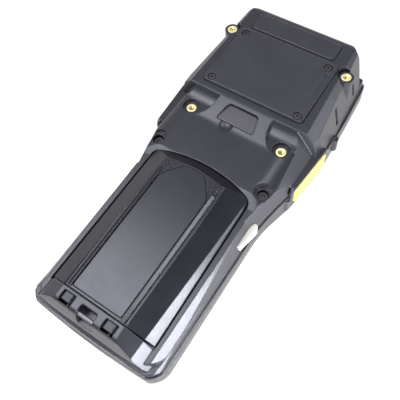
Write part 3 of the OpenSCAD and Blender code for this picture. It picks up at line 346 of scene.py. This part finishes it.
def board_green():
    """Green solder mask: copper tracks show through it, with a stain of flux here and there."""
    material, start = finish_named("board_green")
    place = start.add("TexCoord", out="Object")
    tracks = start.add("TexBrick", {"offset": 0.35, "squash": 1.6}, {
        "Vector": place, "Color1": (1, 1, 1, 1), "Color2": (0.6, 0.6, 0.6, 1),
        "Mortar": (0, 0, 0, 1), "Scale": 420.0, "Mortar Size": 0.03}, out="Fac")
    stain = start.add("TexNoise", None, {"Vector": place, "Scale": 90.0, "Detail": 4.0}, out=0)
    tone = paint(start, tracks * 0.8, (0.012, 0.085, 0.035, 1), (0.03, 0.16, 0.06, 1))
    tone = paint(start, stain.over(0.5, 0.8) * 0.3, tone, (0.05, 0.09, 0.04, 1))
    bump = start.add("Bump", None, {"Strength": 0.6, "Distance": 0.00003, "Height": tracks})
    shader = start.add("BsdfPrincipled", None, {
        "Base Color": tone, "Roughness": 0.35 + stain * 0.15, "Normal": bump})
    start.add("OutputMaterial", None, {"Surface": shader})
    return material


dress(board_green(), "keypad_board", "main_board")


def metal(name, colour, rough=0.3, lines=0.0, edge=0.0003, dull=0.75):
    """Worked metal: fine tool lines along one way, a dulled skin, bright edges."""
    material, start = finish_named(name)
    place = start.add("TexCoord", out="Object")
    stretched = start.add("Mapping", None, {"Vector": place, "Scale": (1.0, 1.0, 9.0)})
    tool = start.add("TexNoise", None, {"Vector": stretched, "Scale": 1500.0, "Detail": 2.0},
                     out=0)
    stain = start.add("TexNoise", None, {"Vector": place, "Scale": 420.0, "Detail": 4.0}, out=0)
    soft = start.add("Bevel", {"samples": 6}, {"Radius": edge})
    tone = paint(start, stain.over(0.45, 0.75), rgba(colour), rgba(colour, dull))
    bump = start.add("Bump", None, {"Strength": 0.5, "Distance": lines, "Height": tool,
                                    "Normal": soft})
    shader = start.add("BsdfPrincipled", None, {
        "Base Color": tone, "Metallic": 1.0, "Roughness": rough + stain * 0.14 + tool * 0.06,
        "Normal": bump})
    start.add("OutputMaterial", None, {"Surface": shader})
    return material


dress(metal("tinned_can", (0.60, 0.61, 0.62), rough=0.28, lines=0.00001), "radio_module")

# ------------------------------------------------------------------ scan engine and speaker
# The imager block behind the scan window and the small loudspeaker beside it: black glass
# filled mouldings.

dress(moulded("engine_black", (0.02, 0.02, 0.022), rough=0.5, edge_wear_and_highlight=1.4),
      "scan_engine", "speaker")

# ------------------------------------------------------------------ dock connector
# The socket that the charging cradle plugs into: a black moulding, let into the wall of the
# tail end.

dress(moulded("socket_black", (0.012, 0.012, 0.013), rough=0.4), "dock_connector")

# ------------------------------------------------------------------ seals
# The gasket between the housings, the gasket under the head cover and the one under the
# battery lid: black silicone rubber cord and die cut foam.

dress(rubber("seal_black", (0.012, 0.012, 0.012), rough=0.75),
      "housing_seal", "head_cover_seal", "lid_seal")

# ------------------------------------------------------------------ rear housing
# The back half of the case, moulded in the same charcoal plastic as the lid: grained on
# the back, with a skin of its own on its steep side walls, where the mould parts.

dress(moulded("case_charcoal", (0.0108, 0.0111, 0.0145), rough=0.34, edge_wear_and_highlight=1.9, edge=0.0010,
              depth=0.00002, polish=1.0), "rear_housing")

# ------------------------------------------------------------------ scan window
# A deep red clear panel of dyed acrylic. It is let into the wall of the top end, in front
# of the imager.

scan_red, start = finish_named("scan_red")
place = start.add("TexCoord", out="Object")
cloud = start.add("TexNoise", None, {"Vector": place, "Scale": 120.0, "Detail": 4.0}, out=0)
tone = paint(start, cloud, (0.050, 0.002, 0.004, 1), (0.085, 0.004, 0.006, 1))
shader = start.add("BsdfPrincipled", None, {
    "Base Color": tone, "Roughness": 0.06 + cloud * 0.06, "Coat Weight": 0.5,
    "Coat Roughness": 0.04})
start.add("OutputMaterial", None, {"Surface": shader})
dress(scan_red, "scan_window")

# ------------------------------------------------------------------ head cover and end panel
# A rectangular cover screwed over the compartment in the head, and the shallow panel
# beyond it: the same plastic from another tool, a little lighter and with a coarser grain.

dress(moulded("cover_charcoal", (0.0140, 0.0141, 0.0180), rough=0.37, edge_wear_and_highlight=1.7,
              edge=0.0007, grain=0.0005), "head_cover", "end_panel")

# ------------------------------------------------------------------ screws and steel parts
# Socket head screws, black coated outside and zinc plated in the battery bay. The latch
# springs are black too, and the strap bar is dull steel.

dress(metal("black_steel", (0.045, 0.045, 0.050), rough=0.42, lines=0.00001),
      "head_cover_screws", "waist_screws", "latch_springs")
dress(metal("zinc_steel", (0.30, 0.30, 0.32), rough=0.26, lines=0.00001), "bay_screws")
dress(metal("satin_bar", (0.17, 0.17, 0.19), rough=0.50, lines=0.00001), "strap_bar")

# ------------------------------------------------------------------ brass inserts
# Four turned brass inserts pressed into bosses, two beside the head cover and two in the
# valleys. Their bores are tapped, which shows as fine bright ridges.

brass = metal("turned_brass", (0.84, 0.76, 0.44), rough=0.22, lines=0.00002, dull=0.82)
dress(brass, "brass_inserts")

low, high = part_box("brass_inserts")
mid_y = (low.y + high.y) / 2
bore_r = 0.00165
pitch = 0.0007
turns = 7
lead_in = 0.0004
ridge_high = 0.00022
ridge_sunk = 0.00003
ridge_half = 0.42 * pitch
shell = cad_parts["brass_inserts"].data
points = [v.co for v in shell.vertices]
tops = []
for side in (-1, 1):
    for near_top in (False, True):
        own = [p for p in points if p.x * side > 0 and (p.y > mid_y) == near_top]
        tops.append(Vector((sum(p.x for p in own) / len(own), sum(p.y for p in own) / len(own),
                            max(p.z for p in own))))
work = bmesh.new()
for top in tops:
    for turn in range(turns):
        z = top.z - lead_in - turn * pitch
        lead = [work.verts.new((top.x + r, top.y, z + h)) for r, h in (
            (bore_r + ridge_sunk, ridge_half), (bore_r - ridge_high, 0.0),
            (bore_r + ridge_sunk, -ridge_half))]
        loop = [work.edges.new((lead[i], lead[(i + 1) % 3])) for i in range(3)]
        bmesh.ops.spin(work, geom=lead + loop, cent=top, axis=(0, 0, 1), angle=2 * math.pi,
                       steps=24, use_merge=True)
bmesh.ops.recalc_face_normals(work, faces=work.faces)
piece("insert_threads", work, "case", brass, smooth=False)

# ------------------------------------------------------------------ battery and contacts
# The battery block, in a shrunk black sleeve, which lies in the bay under the lid, and the
# gold plated spring contacts that it meets at the bay's upper end.

dress(moulded("battery_sleeve", (0.022, 0.022, 0.026), rough=0.30, grain=0.0012,
              depth=0.00001, edge_wear_and_highlight=1.3), "battery_pack")
dress(metal("gold_plate", (0.85, 0.68, 0.32), rough=0.22), "battery_contacts")

# ------------------------------------------------------------------ anchor cap
# A grey moulded cap, a little lighter than the case. It fills the notch at the foot of the
# head, just above the neck.

dress(moulded("cap_grey", (0.040, 0.039, 0.047), rough=0.36, edge_wear_and_highlight=1.35, edge=0.0007),
      "anchor_cap")

# ------------------------------------------------------------------ battery lid
# The lid over the battery: a moulded shell with steep flanks. Its plateau carries an inset
# pad, with a rail along each side that leans outward and is worn smooth, and two patches of
# grip dots at its head.

lid_black = (0.0038, 0.0040, 0.0062)
lid_grain = 0.00055
lid_charcoal = moulded("lid_charcoal", lid_black, rough=0.33, edge_wear_and_highlight=1.8, edge=0.0007,
                       depth=0.00003, grain=lid_grain)
dress(lid_charcoal, "battery_lid")

plateau_foot = (0, -0.097, 0.031)
plateau_run = 0.0934
plateau_rise = 0.0045
slope = math.atan(plateau_rise / plateau_run)
plateau = Matrix.Translation(plateau_foot) @ Matrix.Rotation(slope, 4, "X")

rail_inner = 0.01530
rail_start = 0.0006
rail_end = 0.0765
rail_nose = 0.0016
nose_drop = 0.0010
rail_line = [(0.0, -0.0006), (0.0, 0.0001), (0.00018, 0.00046), (0.00045, 0.00066),
             (0.0008, 0.00062), (0.00250, 0.00008), (0.00264, -0.0001), (0.00264, -0.0008)]
work = bmesh.new()
for side in (-1, 1):
    corners = [work.verts.new((side * (rail_inner + x), rail_start, z)) for x, z in rail_line]
    rim = [work.edges.new((corners[i - 1], corners[i])) for i in range(len(corners))]
    for run, drop in ((rail_end - rail_start, 0.0), (rail_nose, nose_drop)):
        grown = bmesh.ops.extrude_edge_only(work, edges=rim)["geom"]
        rim = [g for g in grown if isinstance(g, bmesh.types.BMEdge)]
        bmesh.ops.translate(work, vec=(0, run, -drop),
                            verts=[g for g in grown if isinstance(g, bmesh.types.BMVert)])
bmesh.ops.holes_fill(work, edges=work.edges)
bmesh.ops.recalc_face_normals(work, faces=work.faces)
bmesh.ops.transform(work, verts=work.verts, matrix=plateau)
rail_charcoal = moulded("rail_charcoal", lid_black, rough=0.27, edge=0.0004,
                        grain=lid_grain, depth=0.00001)
piece("lid_rails", work, "battery_lid", rail_charcoal, smooth=False)

dot_r = 0.00060
dot_high = 0.00036
dot_rows = 5
dots_in_row = 3
first_dot_x = 0.0108
first_dot_y = 0.0848
dot_step = 0.0021
row_step = 0.0023
row_shift = 0.0007
stagger = 0.0011
above_lid = 0.004
lid_skin = BVHTree.FromObject(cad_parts["battery_lid"],
                              bpy.context.evaluated_depsgraph_get())
work = bmesh.new()
for side in (-1, 1):
    for row in range(dot_rows):
        for step in range(dots_in_row):
            x = side * (first_dot_x + dot_step * step + row_shift * row)
            y = first_dot_y - row_step * row + stagger * (step % 2)
            seat = plateau @ Vector((x, y, above_lid))
            found, tilt = lid_skin.ray_cast(seat, Vector((0, 0, -1)))[:2]
            if found is None:
                continue
            made = bmesh.ops.create_uvsphere(work, u_segments=10, v_segments=6,
                                             radius=dot_r)["verts"]
            bmesh.ops.scale(work, vec=(1, 1, dot_high / dot_r), verts=made)
            bmesh.ops.rotate(work, cent=(0, 0, 0), verts=made,
                             matrix=tilt.to_track_quat("Z", "Y").to_matrix())
            bmesh.ops.translate(work, vec=found, verts=made)
piece("grip_dots", work, "battery_lid", lid_charcoal)

# ------------------------------------------------------------------ lid pad
# A finely grained panel, a shade greyer than the lid. It is bonded into the recess in the
# lid's plateau, between the two rails.

dress(moulded("pad_grey", (0.0050, 0.0052, 0.0078), rough=0.31, edge_wear_and_highlight=1.5, edge=0.0004,
              grain=0.00035), "lid_pad")

# ------------------------------------------------------------------ latches
# Two square latch buttons in the tail, moulded in black acetal with sloped flanks. Each
# slides along the case, against a spring, to let go of the lid.

dress(moulded("latch_black", (0.018, 0.019, 0.024), rough=0.44, edge_wear_and_highlight=1.8, edge=0.0006),
      "latch_left", "latch_right")

# ------------------------------------------------------------------ scan triggers
# Wide side triggers, moulded in bright yellow plastic and polished on the pressed face.
# Each stands in a frame in the side wall, at the foot of the head, and is pressed inward.

dress(moulded("trigger_yellow", (0.44, 0.40, 0.06), rough=0.26, edge_wear_and_highlight=1.1, edge=0.0008,
              depth=0.00001, mottle=0.04, coat=0.4), "scan_trigger_left", "scan_trigger_right")

# ------------------------------------------------------------------ side keys
# Light grey wedge keys with a finger groove, moulded in hard plastic. They stand in the
# side walls of the grip and are pressed inward.

dress(moulded("side_key_grey", (0.48, 0.465, 0.44), rough=0.22, edge_wear_and_highlight=1.1, edge=0.0007,
              depth=0.00001, mottle=0.04), "side_key_left", "side_key_right")

# ------------------------------------------------------------------ table
# A pale table just under the rim of the face. It takes a light shadow and otherwise shows
# as white, like the surround.

table_half = 3.0
table_gap = 0.0004
work = bmesh.new()
bmesh.ops.create_grid(work, x_segments=1, y_segments=1, size=table_half)
bmesh.ops.translate(work, vec=(0, 0, -table_gap), verts=work.verts)
mesh = bpy.data.meshes.new("table")
work.to_mesh(mesh)
work.free()
table = bpy.data.objects.new("table", mesh)
bpy.context.collection.objects.link(table)


def watched(start):
    """1 where a thing is seen, mirrored or looked at through glass, 0 where it only lights."""
    direct = start.add("LightPath", out="Is Camera Ray")
    mirrored = start.add("LightPath", out="Is Glossy Ray")
    through = start.add("LightPath", out="Is Transmission Ray")
    return start.math("MINIMUM", direct + mirrored + through, 1.0)


table_finish, start = finish_named("table_white")
matt = start.add("BsdfDiffuse", None, {"Color": (0.85, 0.85, 0.85, 1), "Roughness": 0.5})
white = start.add("Emission", None, {"Color": (1, 1, 1, 1), "Strength": 1.0})
mixed = start.add("MixShader", None, {0: watched(start) * 0.85, 1: matt, 2: white})
start.add("OutputMaterial", None, {"Surface": mixed})
mesh.materials.append(table_finish)

# ------------------------------------------------------------------ light
# A white surround, with one dark card high on the right that shows in reflections alone. A
# broad lamp and a strip hang above, two small lamps light the valleys, and low lamps stand
# beside the tail, the neck and the head.

world = bpy.data.worlds.new("surround")
bpy.context.scene.world = world
world.use_nodes = True
world.node_tree.nodes.clear()
start = Wire(world.node_tree)
mirrored = start.add("LightPath", out="Is Glossy Ray")
card_way = Vector((0.77, 0.19, 0.61)).normalized()
card_edge = math.radians(38)
card_full = math.radians(24)
card_dark = 0.96
toward = start.add("TexCoord", out="Generated")
card = start.add("VectorMath", {"operation": "DOT_PRODUCT"}, {0: toward, 1: card_way},
                 out="Value").over(math.cos(card_edge), math.cos(card_full))
sky = start.add("Background", None, {
    "Color": (1, 1, 1, 1),
    "Strength": 0.5 + watched(start) * 0.5 - card * mirrored * card_dark})
start.add("OutputWorld", None, {"Surface": sky})


def lamp(name, place, aim, wide, long, power, shown=True):
    """A flat lamp that faces a point on the object; a lamp close by isn't shown itself."""
    light = bpy.data.lights.new(name, "AREA")
    light.shape = "RECTANGLE"
    light.size = wide
    light.size_y = long
    light.energy = power
    obj = bpy.data.objects.new(name, light)
    bpy.context.collection.objects.link(obj)
    obj.location = place
    obj.rotation_euler = (Vector(aim) - Vector(place)).to_track_quat("-Z", "Y").to_euler()
    obj.visible_camera = shown


lamp("lamp_above_tail", (-0.36, -0.15, 0.80), (0.0, -0.09, 0.03), 0.46, 0.34, 6.1)
lamp("lamp_above_valley", (-0.16, -0.10, 0.83), (0.03, 0.03, 0.03), 0.11, 0.12, 1.15)
lamp("strip_over_right", (0.22, 0.12, 0.85), (0.0, 0.0, 0.03), 0.45, 0.18, 4.4)
lamp("lamp_behind_eye", (-0.20, -0.46, 0.73), (0.03, 0.05, 0.02), 0.26, 0.20, 1.8)
lamp("lamp_beside_tail", (0.16, -0.13, 0.016), (0.03, -0.13, 0.016), 0.20, 0.036, 1.35,
     shown=False)
lamp("lamp_beside_neck", (0.16, 0.015, 0.014), (0.03, 0.015, 0.014), 0.09, 0.028, 0.11,
     shown=False)
lamp("lamp_beside_head", (0.36, 0.24, 0.12), (0.04, 0.05, 0.03), 0.16, 0.12, 0.5)

# ------------------------------------------------------------------ camera
# It stands over the right side of the tail and looks down at the middle of the back. The
# picture is turned so that the head points up and to the right.

camera = bpy.data.cameras.new("camera")
camera.lens = 47.31
camera.sensor_width = 36.0
camera.sensor_height = 36.0
camera.sensor_fit = "HORIZONTAL"
camera.clip_start = 0.01
eye = bpy.data.objects.new("camera", camera)
bpy.context.collection.objects.link(eye)
right = Vector((0.8217, 0.5647, -0.0768))
up = Vector((-0.4637, 0.7408, 0.4861))
back = Vector((0.3314, -0.3638, 0.8705))
place = Vector((0.10041, -0.12273, 0.26659))
stand = Matrix.Identity(4)
for column, way in enumerate((right, up, back, place)):
    for row in range(3):
        stand[row][column] = way[row]
eye.matrix_world = stand
bpy.context.scene.camera = eye
bpy.context.scene.view_settings.view_transform = "Standard"
